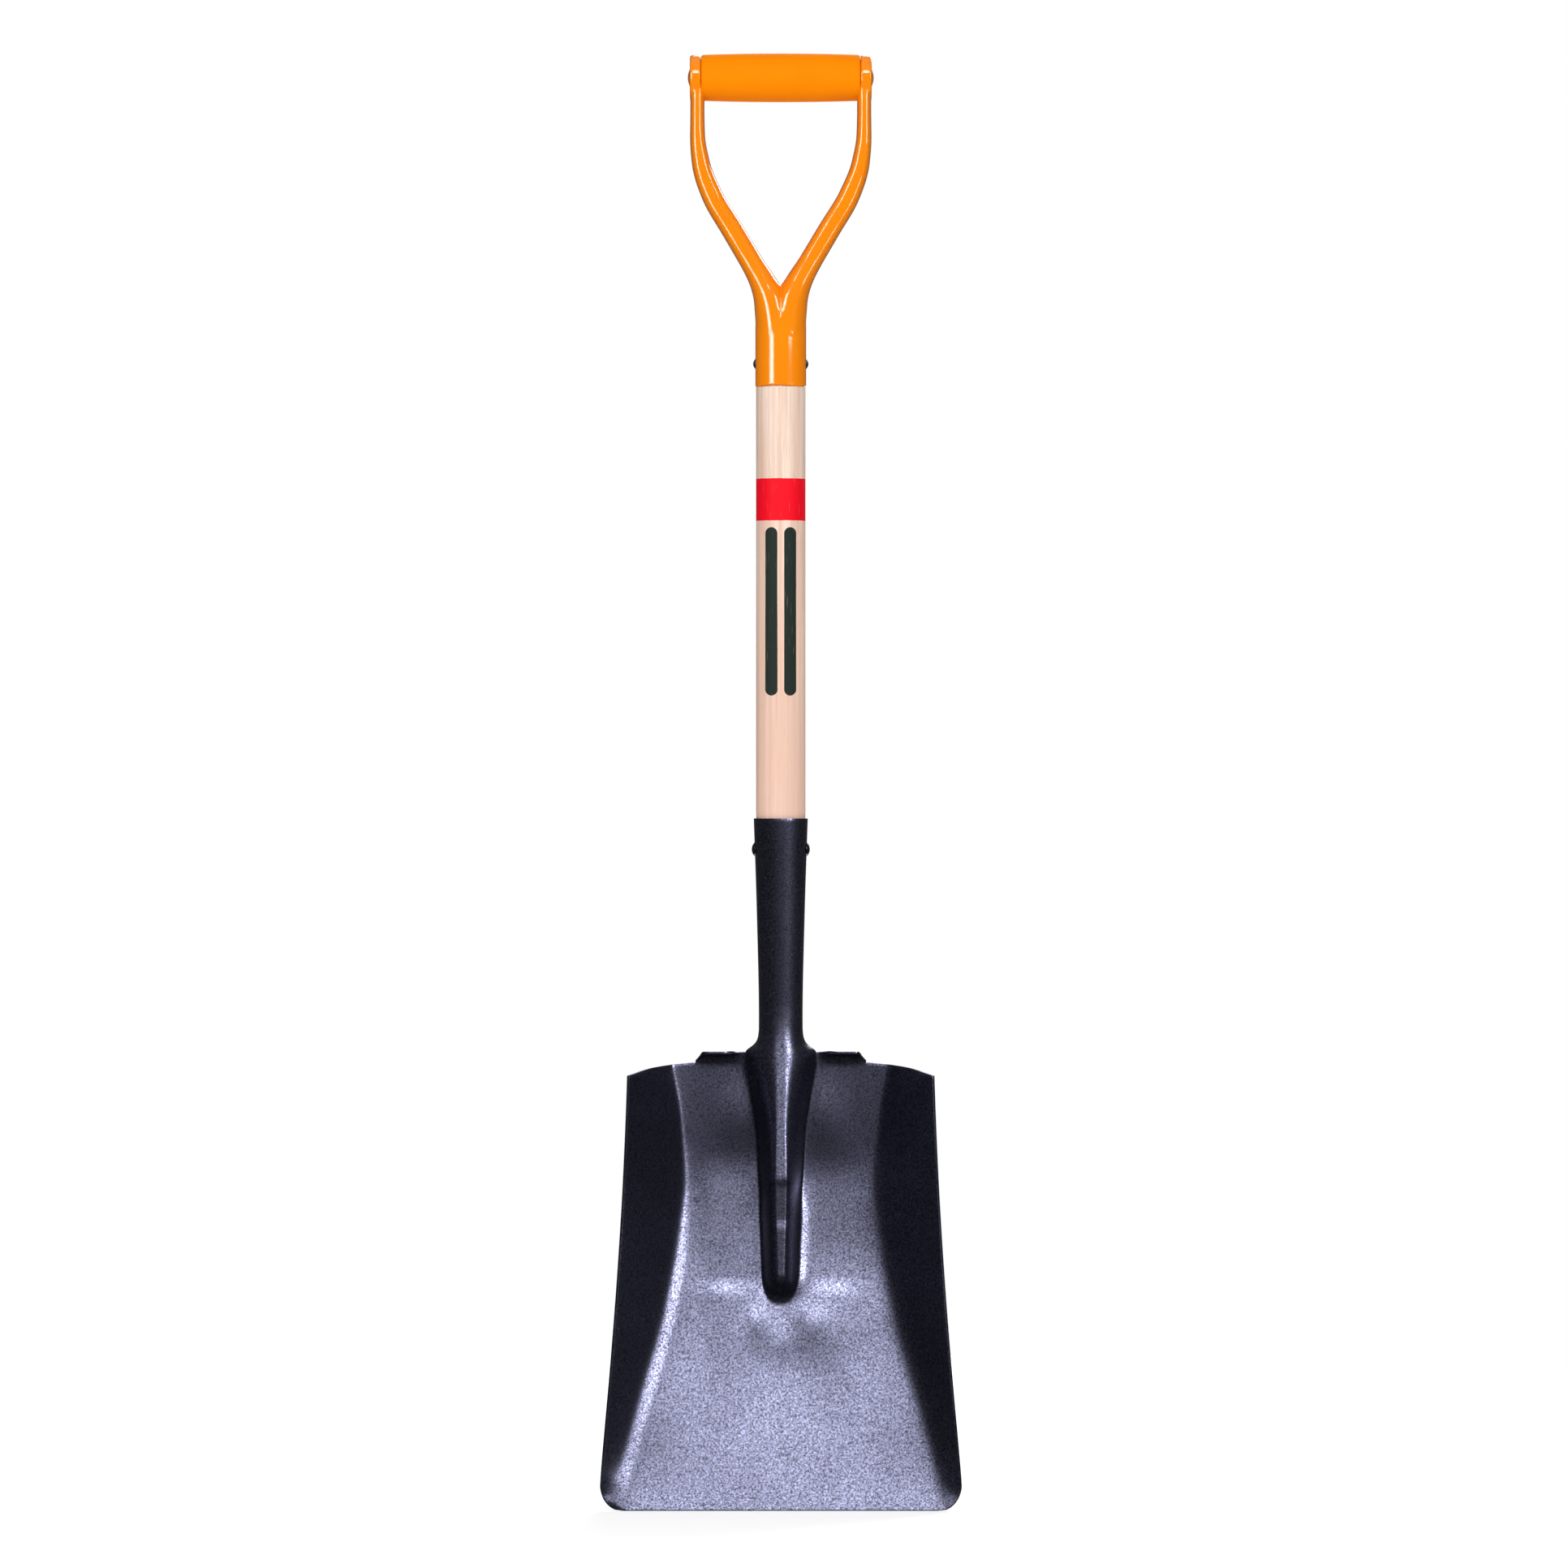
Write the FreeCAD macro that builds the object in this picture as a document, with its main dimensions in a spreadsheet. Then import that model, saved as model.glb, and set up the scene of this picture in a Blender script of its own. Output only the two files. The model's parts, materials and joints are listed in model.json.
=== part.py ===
import FreeCAD, Part
import os
from math import atan2, cos, hypot, pi, sin, sqrt

import Sketcher
from FreeCAD import Placement, Rotation, Vector

# Square-mouth shovel with a steel D-handle, in millimetres.
# +Z runs up the shaft, X is the blade's width, and the dished face of the blade looks towards -Y.
# The origin is the middle of the cutting edge. Every sub-part is drawn about the shaft's axis, and its
# Placement moves that axis back by shaft_y.

DIMENSIONS = [
    # Distance of the shaft's axis behind the cutting edge.
    ("shaft_y", 70.48),
    # Shaft: a turned pole, thinner where it enters each socket.
    ("shaft_radius", 16.8),
    ("shaft_tip_z", 284.0),
    ("shaft_tip_radius", 8.0),
    ("shaft_taper_z", 301.0),
    ("shaft_taper_radius", 12.7),
    ("shaft_top_z", 803.0),
    ("shaft_ramp_length", 4.0),
    ("fit_gap", 0.15),
    ("shoulder_gap", 0.3),
    ("tenon_end_gap", 1.0),
    # Blade socket: a rolled tube that narrows downwards to the neck.
    ("socket_top_z", 465.0),
    ("socket_top_radius", 18.4),
    ("socket_mid_z", 400.0),
    ("socket_mid_radius", 16.3),
    ("neck_z", 330.0),
    ("neck_radius", 14.9),
    ("socket_bottom_z", 297.0),
    ("socket_bottom_radius", 15.3),
    ("socket_wall", 1.5),
    ("socket_foot_thickening", 0.4),
    ("seam_width", 1.0),
    # Blade outline, as seen along Y.
    ("mouth_half_width", 122.0),
    ("mouth_corner_radius", 16.0),
    ("side_mid_half_width", 109.6),
    ("side_mid_z", 160.0),
    ("heel_half_width", 103.1),
    ("heel_corner_z", 291.5),
    ("heel_mid_half_width", 85.0),
    ("heel_mid_z", 296.4),
    ("heel_inner_half_width", 60.0),
    ("heel_inner_z", 299.0),
    ("sheet_thickness", 1.9),
    # Turned foot steps.
    ("step_half_width", 53.0),
    ("step_top_z", 306.6),
    ("step_bend_radius", 8.0),
    ("step_flat", 1.2),
    ("step_root_length", 8.0),
    # Side view of the blade's floor: a steep upper part, a short bend, and a hollow that runs to the mouth.
    ("heel_floor_y", 2.7),
    ("upper_floor_slope", 0.06),
    ("bend_top_z", 242.0),
    ("bend_foot_z", 218.0),
    ("bent_floor_slope", 0.2),
    ("hollow_length", 150.0),
    ("mouth_floor_slope", 0.365),
    # Side view of the frog's crest: it leans forward below the socket, then runs steeper from its knee.
    ("frog_top_z", 300.0),
    ("frog_top_y", -15.2),
    ("frog_top_slope", 0.25),
    ("frog_knee_z", 220.0),
    ("frog_slope", 0.105),
    ("frog_tip_z", 137.0),
    ("frog_tip_length", 18.0),
    # Yoke of the D-handle.
    ("yoke_rim_z", 758.5),
    ("yoke_socket_top_z", 808.0),
    ("yoke_socket_radius", 17.3),
    ("yoke_wall", 1.5),
    ("yoke_seam_width", 0.6),
    ("arm_hollow_top_z", 948.0),
    ("cup_radius", 15.4),
    ("cup_outer_x", 61.8),
    ("cup_edge_radius", 1.4),
    ("cup_gap", 0.3),
    ("cup_z", 968.6),
    # Cross grip.
    ("grip_length", 108.0),
    ("grip_mid_radius", 16.5),
    ("grip_end_radius", 15.5),
    ("spigot_radius", 12.4),
    ("spigot_length", 5.0),
    # Rivets.
    ("shank_radius", 3.0),
    ("hole_radius", 3.1),
    ("grip_head_radius", 5.8),
    ("grip_head_height", 1.4),
    ("upper_rivet_z", 774.0),
    ("upper_head_radius", 3.4),
    ("upper_head_height", 1.5),
    ("lower_rivet_z", 444.0),
    ("lower_seat_x", 17.75),
    ("lower_head_radius", 4.8),
    ("lower_head_height", 2.0),
    # How far a cut runs past the metal that it goes through.
    ("cut_margin", 1.0),
]

# Half-width of the flat floor of the blade and height of its side wall, by height above the mouth.
CREASE = [(-20.0, 120.5), (7.0, 113.6), (80.0, 95.2), (133.0, 80.0), (191.0, 70.0), (222.0, 67.5), (260.0, 70.0),
          (310.0, 80.5)]
WALL_HEIGHT = [(-20.0, 0.0), (7.0, 2.0), (24.0, 8.0), (80.0, 23.0), (133.0, 34.0), (191.0, 42.0), (240.0, 45.0),
               (310.0, 43.0)]
# Half-width of the frog's foot and fullness of its section, by height above the mouth. A section of fullness 2
# is a parabola, and a fuller one has a flatter crest and steeper flanks.
FROG_FOOT = [(120.0, 12.0), (150.0, 12.6), (197.0, 14.4), (222.0, 15.6), (252.0, 17.6), (285.0, 22.0),
             (300.0, 24.5), (320.0, 26.0)]
FROG_FULLNESS = [(137.0, 2.0), (200.0, 2.3), (270.0, 2.5), (300.0, 2.3)]
WALL_CREASE_SOFTNESS = 0.16
FOOT_SOFTNESS = 3.5
# Points of the grid that carries the blade's surface, and the share of it that is spaced evenly: the rest
# crowds towards the middle, where the frog is.
GRID_COLUMNS = 81
GRID_ROWS = 63
EVEN_SHARE = 0.36
SURFACE_HALF_WIDTH = 128.0
SURFACE_BOTTOM_Z = -8.0
SURFACE_TOP_Z = 301.0
# Distance over which a slope of the surface is measured.
SLOPE_RUN = 0.1
# The foot steps are this much thinner on each side than the sheet, so no two faces of the union coincide.
STEP_INSET = 0.05
# Longer than any part is wide or deep.
REACH = 200.0

# One arm of the yoke, from the socket to the cup: x, z, half-width across the arm, half-depth along Y.
ARM_STATIONS = [
    (3.4, 798.0, 13.8, 17.2),
    (6.4, 815.0, 11.9, 16.8),
    (12.0, 829.0, 9.2, 15.6),
    (20.4, 844.0, 7.8, 14.4),
    (33.4, 866.0, 7.6, 13.6),
    (46.4, 888.0, 7.4, 13.4),
    (54.2, 910.0, 6.3, 13.6),
    (56.6, 930.0, 5.2, 14.0),
    (56.5, 948.0, 4.9, 14.1),
    (56.3, 962.0, 4.6, 13.4),
]


def dimension_sheet(doc):
    """Spreadsheet of the driving dimensions: name in column A, value in column B."""
    sheet = doc.addObject("Spreadsheet::Sheet", "dims")
    for row, (alias, value) in enumerate(DIMENSIONS, start=1):
        sheet.set(f"A{row}", alias)
        sheet.set(f"B{row}", str(value))
        sheet.setAlias(f"B{row}", alias)
    doc.recompute()
    return sheet


class Sheet:
    """Reads the spreadsheet's cells as attributes."""

    def __init__(self, sheet):
        self._sheet = sheet

    def __getattr__(self, alias):
        return float(self._sheet.get(alias))


def smooth_step(value):
    value = min(1.0, max(0.0, value))
    return value * value * (3.0 - 2.0 * value)


def interpolate(points, position):
    """Smooth curve through the points (monotone between neighbours), flat beyond the ends."""
    if position <= points[0][0]:
        return points[0][1]
    if position >= points[-1][0]:
        return points[-1][1]
    slopes = [(b[1] - a[1]) / (b[0] - a[0]) for a, b in zip(points, points[1:])]
    tangents = [slopes[0]]
    for left, right in zip(slopes, slopes[1:]):
        tangents.append(2.0 * left * right / (left + right) if left * right > 0 else 0.0)
    tangents.append(slopes[-1])
    index = max(i for i, point in enumerate(points[:-1]) if point[0] <= position)
    (x0, y0), (x1, y1) = points[index], points[index + 1]
    span = x1 - x0
    u = (position - x0) / span
    rise = y1 - y0
    m0 = tangents[index] * span
    m1 = tangents[index + 1] * span
    return y0 + u * (m0 + u * (3.0 * rise - 2.0 * m0 - m1 + u * (m0 + m1 - 2.0 * rise)))


def smooth_max(first, second, softness):
    return 0.5 * (first + second + sqrt((first - second) ** 2 + softness**2))


# ---------------------------------------------------------------- blade surface


def bent_run(run, length):
    """Sideways travel per unit of added slope, after a run whose slope grows evenly over the given length."""
    bent = min(length, max(0.0, run))
    return bent**2 / (2 * length) + max(0.0, run - length)


def floor_y(d, z):
    """Front of the blade's floor on its centre line."""
    straight = d.heel_floor_y - d.upper_floor_slope * (d.step_top_z - z)
    bend = (d.bent_floor_slope - d.upper_floor_slope) * bent_run(d.bend_top_z - z, d.bend_top_z - d.bend_foot_z)
    hollow = (d.mouth_floor_slope - d.bent_floor_slope) * bent_run(d.bend_foot_z - z, d.hollow_length)
    return straight - bend - hollow


def crest_y(d, z):
    """Front of the frog's crest on its centre line."""
    upper = d.frog_top_slope * (d.frog_top_z - max(z, d.frog_knee_z))
    lower = d.frog_slope * max(0.0, d.frog_knee_z - z)
    return d.frog_top_y - upper - lower


def side_half_width(d, z):
    """Half-width of the blade at height z: an arc through heel, middle and mouth, as a parabola."""
    points = [
        (d.heel_corner_z, d.heel_half_width),
        (d.side_mid_z, d.side_mid_half_width),
        (d.mouth_corner_radius, d.mouth_half_width),
    ]
    total = 0.0
    for i, (zi, wi) in enumerate(points):
        weight = 1.0
        for j, (zj, _) in enumerate(points):
            if j != i:
                weight *= (z - zj) / (zi - zj)
        total += wi * weight
    return total


def front_y(d, x, z):
    """Front surface of the sheet: floor, side walls and frog run into each other."""
    crease = interpolate(CREASE, z)
    reach = (abs(x) - crease) / (side_half_width(d, z) - crease)
    wall = interpolate(WALL_HEIGHT, z) * (reach + hypot(reach, WALL_CREASE_SOFTNESS)) / 2
    tip = smooth_step((z - d.frog_tip_z) / d.frog_tip_length)
    crest = (floor_y(d, z) - crest_y(d, z)) * tip
    ridge = crest * (1 - (abs(x) / interpolate(FROG_FOOT, z)) ** interpolate(FROG_FULLNESS, z))
    return floor_y(d, z) - wall - smooth_max(ridge, 0.0, FOOT_SOFTNESS * tip)


def surface_normal(d, x, z):
    """Unit normal of the front surface, pointing to the back."""
    slope_x = (front_y(d, x + SLOPE_RUN / 2, z) - front_y(d, x - SLOPE_RUN / 2, z)) / SLOPE_RUN
    slope_z = (front_y(d, x, z + SLOPE_RUN / 2) - front_y(d, x, z - SLOPE_RUN / 2)) / SLOPE_RUN
    return Vector(-slope_x, 1.0, -slope_z).normalize()


def thick_sheet(d):
    """Solid sheet between the front surface and its offset, larger than the blade's outline."""
    front_rows = []
    back_rows = []
    for row in range(GRID_ROWS):
        z = SURFACE_BOTTOM_Z + (SURFACE_TOP_Z - SURFACE_BOTTOM_Z) * row / (GRID_ROWS - 1)
        front_row = []
        back_row = []
        for column in range(GRID_COLUMNS):
            side = 2.0 * column / (GRID_COLUMNS - 1) - 1.0
            x = SURFACE_HALF_WIDTH * (EVEN_SHARE * side + (1 - EVEN_SHARE) * side**3)
            point = Vector(x, front_y(d, x, z), z)
            front_row.append(point)
            back_row.append(point + surface_normal(d, x, z) * d.sheet_thickness)
        front_rows.append(front_row)
        back_rows.append(back_row)
    front = Part.BSplineSurface()
    front.interpolate(front_rows)
    back = Part.BSplineSurface()
    back.interpolate(back_rows)
    faces = [front.toShape(), back.toShape()]
    for direction, value in (("u", "first"), ("u", "last"), ("v", "first"), ("v", "last")):
        edges = [boundary(surface, direction, value) for surface in (front, back)]
        faces.append(Part.makeRuledSurface(*edges))
    shell = Part.makeShell(faces)
    shell.sewShape()
    solid = Part.makeSolid(shell)
    if solid.Volume < 0:
        solid.reverse()
    return solid


def boundary(surface, direction, which):
    """Edge along one side of a surface."""
    u0, u1, v0, v1 = surface.bounds()
    if direction == "u":
        return surface.uIso(u0 if which == "first" else u1).toShape()
    return surface.vIso(v0 if which == "first" else v1).toShape()


def blade_outline(d):
    """Outline of pan and foot steps as seen along Y, as a wire in the plane y = 0."""

    def at(x, z):
        return Vector(x, 0, z)

    corner = d.mouth_corner_radius
    diagonal = corner * (1 - sqrt(0.5))
    over_steps = d.step_top_z + d.cut_margin
    half = [
        Part.Arc(
            at(d.mouth_half_width - corner, 0),
            at(d.mouth_half_width - diagonal, diagonal),
            at(d.mouth_half_width, corner),
        ).toShape(),
        Part.Arc(
            at(d.mouth_half_width, corner),
            at(d.side_mid_half_width, d.side_mid_z),
            at(d.heel_half_width, d.heel_corner_z),
        ).toShape(),
        Part.Arc(
            at(d.heel_half_width, d.heel_corner_z),
            at(d.heel_mid_half_width, d.heel_mid_z),
            at(d.heel_inner_half_width, d.heel_inner_z),
        ).toShape(),
        Part.makeLine(at(d.heel_inner_half_width, d.heel_inner_z), at(d.step_half_width, over_steps)),
    ]
    mirrored = [edge.mirror(Vector(), Vector(1, 0, 0)) for edge in half]
    mouth = Part.makeLine(at(corner - d.mouth_half_width, 0), at(d.mouth_half_width - corner, 0))
    top = Part.makeLine(at(d.step_half_width, over_steps), at(-d.step_half_width, over_steps))
    return Part.Wire(Part.__sortEdges__(half + mirrored + [mouth, top]))


def foot_step(d):
    """Strip that continues the heel upwards and turns forward over its bend."""
    thickness = d.sheet_thickness - 2 * STEP_INSET
    front = floor_y(d, d.heel_inner_z) + STEP_INSET
    back = front + thickness
    root_z = d.heel_inner_z - d.step_root_length
    outer_radius = d.step_bend_radius + thickness / 2
    inner_radius = d.step_bend_radius - thickness / 2
    centre_y = back - outer_radius
    centre_z = d.step_top_z - outer_radius
    profile = [
        (back, root_z),
        (back, centre_z),
        (centre_y, d.step_top_z),
        (centre_y - d.step_flat, d.step_top_z),
        (centre_y - d.step_flat, d.step_top_z - thickness),
        (centre_y, d.step_top_z - thickness),
        (front, centre_z),
        (front, root_z),
    ]
    points = [Vector(0, y, z) for y, z in profile]
    bend = Vector(0, centre_y, centre_z)
    outer_mid = bend + Vector(0, outer_radius * sqrt(0.5), outer_radius * sqrt(0.5))
    inner_mid = bend + Vector(0, inner_radius * sqrt(0.5), inner_radius * sqrt(0.5))
    edges = [
        Part.makeLine(points[0], points[1]),
        Part.Arc(points[1], outer_mid, points[2]).toShape(),
        Part.makeLine(points[2], points[3]),
        Part.makeLine(points[3], points[4]),
        Part.makeLine(points[4], points[5]),
        Part.Arc(points[5], inner_mid, points[6]).toShape(),
        Part.makeLine(points[6], points[7]),
        Part.makeLine(points[7], points[0]),
    ]
    face = Part.Face(Part.Wire(edges))
    root_x = d.socket_bottom_radius - d.socket_wall / 2
    face.translate(Vector(root_x, 0, 0))
    return face.extrude(Vector(d.heel_inner_half_width - root_x, 0, 0))


def pan_shape(d):
    """Pan of the blade: sheet and foot steps, cut to the outline."""
    prism = Part.Face(blade_outline(d))
    prism.translate(Vector(0, -REACH / 2, 0))
    prism = prism.extrude(Vector(0, REACH, 0))
    step = foot_step(d)
    other_step = step.mirror(Vector(), Vector(1, 0, 0))
    return thick_sheet(d).common(prism).fuse([step.common(prism), other_step.common(prism)])


# ---------------------------------------------------------------- yoke surface


def arm_section(index, shrink):
    """Elliptical section of an arm, square to the arm's run."""
    x, z, half_width, half_depth = ARM_STATIONS[index]
    before = ARM_STATIONS[max(0, index - 1)]
    after = ARM_STATIONS[min(len(ARM_STATIONS) - 1, index + 1)]
    lean = atan2(after[0] - before[0], after[1] - before[1])
    if index in (0, len(ARM_STATIONS) - 1):
        lean = 0.0
    across = Vector(cos(lean), 0, -sin(lean))
    centre = Vector(x, 0, z)
    steps = 24
    points = []
    for step in range(steps):
        angle = 2 * pi * step / steps
        offset = across * ((half_width - shrink) * cos(angle))
        points.append(centre + offset + Vector(0, (half_depth - shrink) * sin(angle), 0))
    curve = Part.BSplineCurve()
    curve.interpolate(points, PeriodicFlag=True)
    return Part.Wire(curve.toShape())


def arm_solid(shrink):
    """Right-hand arm, smaller all round by shrink."""
    sections = [arm_section(index, shrink) for index in range(len(ARM_STATIONS))]
    return Part.makeLoft(sections, True, False)


def grip_envelope(d, gap):
    """Room that the cross grip takes up between and in the cups."""
    half = d.grip_length / 2 + gap
    spigot_end = d.grip_length / 2 + d.spigot_length + gap
    ends = [Vector(-half, 0, d.grip_end_radius + gap), Vector(half, 0, d.grip_end_radius + gap)]
    crown = Part.Arc(ends[0], Vector(0, 0, d.grip_mid_radius + gap), ends[1]).toShape()
    spigot = d.spigot_radius + gap
    corners = [
        ends[1],
        Vector(half, 0, spigot),
        Vector(spigot_end, 0, spigot),
        Vector(spigot_end, 0, 0),
        Vector(-spigot_end, 0, 0),
        Vector(-spigot_end, 0, spigot),
        Vector(-half, 0, spigot),
        ends[0],
    ]
    edges = [crown] + [Part.makeLine(a, b) for a, b in zip(corners, corners[1:])]
    solid = Part.Face(Part.Wire(edges)).revolve(Vector(), Vector(1, 0, 0), 360)
    solid.translate(Vector(0, 0, d.cup_z))
    return solid


def cup_solid(d):
    """Right-hand end cup, before the grip's room is taken out."""
    inner_x = d.grip_length / 2 + d.cup_gap
    cup = Part.makeCylinder(d.cup_radius, d.cup_outer_x - inner_x, Vector(inner_x, 0, d.cup_z), Vector(1, 0, 0))
    rims = [edge for edge in cup.Edges if isinstance(edge.Curve, Part.Circle)]
    outer_rim = max(rims, key=lambda edge: edge.Curve.Center.x)
    return cup.makeFillet(d.cup_edge_radius, [outer_rim])


def yoke_shape(d):
    """Yoke: socket tube, two hollow arms and two end cups."""
    mirror = (Vector(), Vector(1, 0, 0))
    arm = arm_solid(0.0)
    cup = cup_solid(d)
    socket = Part.makeCylinder(d.yoke_socket_radius, d.yoke_socket_top_z - d.yoke_rim_z, Vector(0, 0, d.yoke_rim_z))
    outer = socket.fuse([arm, arm.mirror(*mirror), cup, cup.mirror(*mirror)])
    keep = Part.makeBox(REACH, REACH, d.arm_hollow_top_z, Vector(-REACH / 2, -REACH / 2, 0))
    hollow = arm_solid(d.yoke_wall).common(keep)
    bore_top = d.shaft_top_z + d.tenon_end_gap
    bore = Part.makeCylinder(d.yoke_socket_radius - d.yoke_wall, bore_top - d.yoke_rim_z, Vector(0, 0, d.yoke_rim_z))
    seam_depth = 6.0
    seam = Part.makeBox(
        d.yoke_seam_width,
        seam_depth,
        d.yoke_socket_top_z - d.yoke_rim_z,
        Vector(-d.yoke_seam_width / 2, -d.yoke_socket_radius - seam_depth / 2, d.yoke_rim_z),
    )
    cross = Part.makeCylinder(d.hole_radius, REACH, Vector(-REACH / 2, 0, d.upper_rivet_z), Vector(1, 0, 0))
    grip_hole = Part.makeCylinder(d.hole_radius, REACH, Vector(-REACH / 2, 0, d.cup_z), Vector(1, 0, 0))
    return outer.cut([hollow, hollow.mirror(*mirror), bore, seam, cross, grip_hole, grip_envelope(d, d.fit_gap)])


# ---------------------------------------------------------------- turned bodies


def expression_value(doc, expression):
    return float(doc.dims.evalExpression(expression))


def profile_point(radius, height, along_x):
    """Sketch position of a point of a turned profile: the axis is vertical, or horizontal along X."""
    return Vector(height, radius, 0) if along_x else Vector(radius, height, 0)


def arc_through(start, end, radius, bulge):
    """Arc of the given radius from start to end; bulge +1 swells to the right of the run, -1 to its left."""
    chord = end - start
    right = Vector(chord.y, -chord.x, 0).normalize()
    middle = (start + end) * 0.5
    inset = sqrt(radius**2 - (chord.Length / 2) ** 2)
    swell = middle + right * (bulge * (radius - inset))
    return Part.Arc(start, swell, end)


def turned_body(doc, label, vertices, arcs, along_x=False):
    """Body turned from a closed profile, run anticlockwise.

    Each vertex is a (radius, height) pair of expressions on the sheet. arcs maps an edge, by the number of
    the vertex that it starts at, to the expression of its radius and its bulge.
    """
    body = doc.addObject("PartDesign::Body", label)
    body.Label = label
    sketch = body.newObject("Sketcher::SketchObject", f"{label}_profile")
    plane = next(item for item in body.Origin.OriginFeatures if item.Role == "XZ_Plane")
    sketch.AttachmentSupport = [(plane, "")]
    sketch.MapMode = "FlatFace"
    points = []
    for radius, height in vertices:
        points.append(profile_point(expression_value(doc, radius), expression_value(doc, height), along_x))
    count = len(points)
    starts = []
    for index, start in enumerate(points):
        end = points[(index + 1) % count]
        if index in arcs:
            radius, bulge = arcs[index]
            sketch.addGeometry(arc_through(start, end, expression_value(doc, radius), bulge), False)
            starts.append(1 if bulge > 0 else 2)
        else:
            sketch.addGeometry(Part.LineSegment(start, end), False)
            starts.append(1)
    for index, point in enumerate(points):
        previous = (index - 1) % count
        own_start = starts[index]
        previous_end = 3 - starts[previous]
        sketch.addConstraint(Sketcher.Constraint("Coincident", previous, previous_end, index, own_start))
        radius, height = vertices[index]
        across, along = (height, radius) if along_x else (radius, height)
        for kind, place, expression, axis in (("DistanceX", point.x, across, -2), ("DistanceY", point.y, along, -1)):
            if round(place, 9) == 0:
                sketch.addConstraint(Sketcher.Constraint("PointOnObject", index, own_start, axis))
            else:
                row = sketch.addConstraint(Sketcher.Constraint(kind, -1, 1, index, own_start, place))
                sketch.setExpression(f"Constraints[{row}]", expression)
        if index in arcs:
            expression = arcs[index][0]
            row = sketch.addConstraint(Sketcher.Constraint("Radius", index, expression_value(doc, expression)))
            sketch.setExpression(f"Constraints[{row}]", expression)
    doc.recompute()
    turned = body.newObject("PartDesign::Revolution", f"{label}_turned")
    turned.Profile = sketch
    turned.ReferenceAxis = (sketch, ["H_Axis" if along_x else "V_Axis"])
    turned.Angle = 360.0
    doc.recompute()
    return body


def socket_tube(doc):
    """Rolled socket of the blade: narrows from its rim to the neck, with a small rounding of the rim."""
    rim = "dims.socket_wall / 3"
    vertices = [
        ("dims.socket_bottom_radius - dims.socket_wall - dims.socket_foot_thickening", "dims.socket_bottom_z"),
        ("dims.socket_bottom_radius", "dims.socket_bottom_z"),
        ("dims.neck_radius", "dims.neck_z"),
        ("dims.socket_mid_radius", "dims.socket_mid_z"),
        ("dims.socket_top_radius", f"dims.socket_top_z - {rim}"),
        (f"dims.socket_top_radius - {rim}", "dims.socket_top_z"),
        ("dims.socket_top_radius - dims.socket_wall", "dims.socket_top_z"),
        ("dims.socket_mid_radius - dims.socket_wall", "dims.socket_mid_z"),
        ("dims.neck_radius - dims.socket_wall", "dims.neck_z"),
    ]
    return turned_body(doc, "blade_socket", vertices, {4: (rim, 1)})


def shaft_blank(doc):
    """Turned pole: tapered lower end, straight middle, thinner top inside the yoke."""
    inset = "dims.socket_wall - dims.fit_gap"
    tenon = "dims.yoke_socket_radius - dims.yoke_wall - dims.fit_gap"
    vertices = [
        ("0", "dims.shaft_tip_z"),
        ("dims.shaft_tip_radius", "dims.shaft_tip_z"),
        ("dims.shaft_taper_radius", "dims.shaft_taper_z"),
        (f"dims.neck_radius - {inset}", "dims.neck_z"),
        (f"dims.socket_mid_radius - {inset}", "dims.socket_mid_z"),
        (f"dims.socket_top_radius - {inset}", "dims.socket_top_z"),
        ("dims.shaft_radius", "dims.socket_top_z + dims.shaft_ramp_length"),
        ("dims.shaft_radius", "dims.yoke_rim_z - dims.shoulder_gap"),
        (tenon, "dims.yoke_rim_z - dims.shoulder_gap"),
        (tenon, "dims.shaft_top_z"),
        ("0", "dims.shaft_top_z"),
    ]
    return turned_body(doc, "shaft_blank", vertices, {})


def grip_barrel(doc):
    """Crowned cross grip with a spigot at each end and a bore for its rivet; starts at the left spigot."""
    length = "(dims.grip_length + 2 * dims.spigot_length)"
    crown = "(dims.grip_mid_radius - dims.grip_end_radius)"
    crown_radius = f"(((dims.grip_length / 2)^2 + {crown}^2) / (2 * {crown}))"
    vertices = [
        ("dims.hole_radius", "0"),
        ("dims.hole_radius", length),
        ("dims.spigot_radius", length),
        ("dims.spigot_radius", "dims.grip_length + dims.spigot_length"),
        ("dims.grip_end_radius", "dims.grip_length + dims.spigot_length"),
        ("dims.grip_end_radius", "dims.spigot_length"),
        ("dims.spigot_radius", "dims.spigot_length"),
        ("dims.spigot_radius", "0"),
    ]
    body = turned_body(doc, "cross_grip", vertices, {4: (crown_radius, 1)}, along_x=True)
    body.setExpression("Placement.Base.x", "-dims.grip_length / 2 - dims.spigot_length")
    body.setExpression("Placement.Base.z", "dims.cup_z")
    return body


def rivet(doc, label, seat, head_radius, head_height, z):
    """Rivet across the tool: a shank between two domed heads whose flat sides are at plus and minus seat."""
    dome = f"(({head_radius}^2 + {head_height}^2) / (2 * {head_height}))"
    length = f"(2 * {seat} + 2 * {head_height})"
    vertices = [
        ("0", "0"),
        (head_radius, head_height),
        ("dims.shank_radius", head_height),
        ("dims.shank_radius", f"2 * {seat} + {head_height}"),
        (head_radius, f"2 * {seat} + {head_height}"),
        ("0", length),
    ]
    body = turned_body(doc, label, vertices, {0: (dome, -1), 4: (dome, -1)}, along_x=True)
    body.setExpression("Placement.Base.x", f"-{seat} - {head_height}")
    body.setExpression("Placement.Base.z", z)
    return body


# ---------------------------------------------------------------- joined and drilled sub-parts


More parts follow.
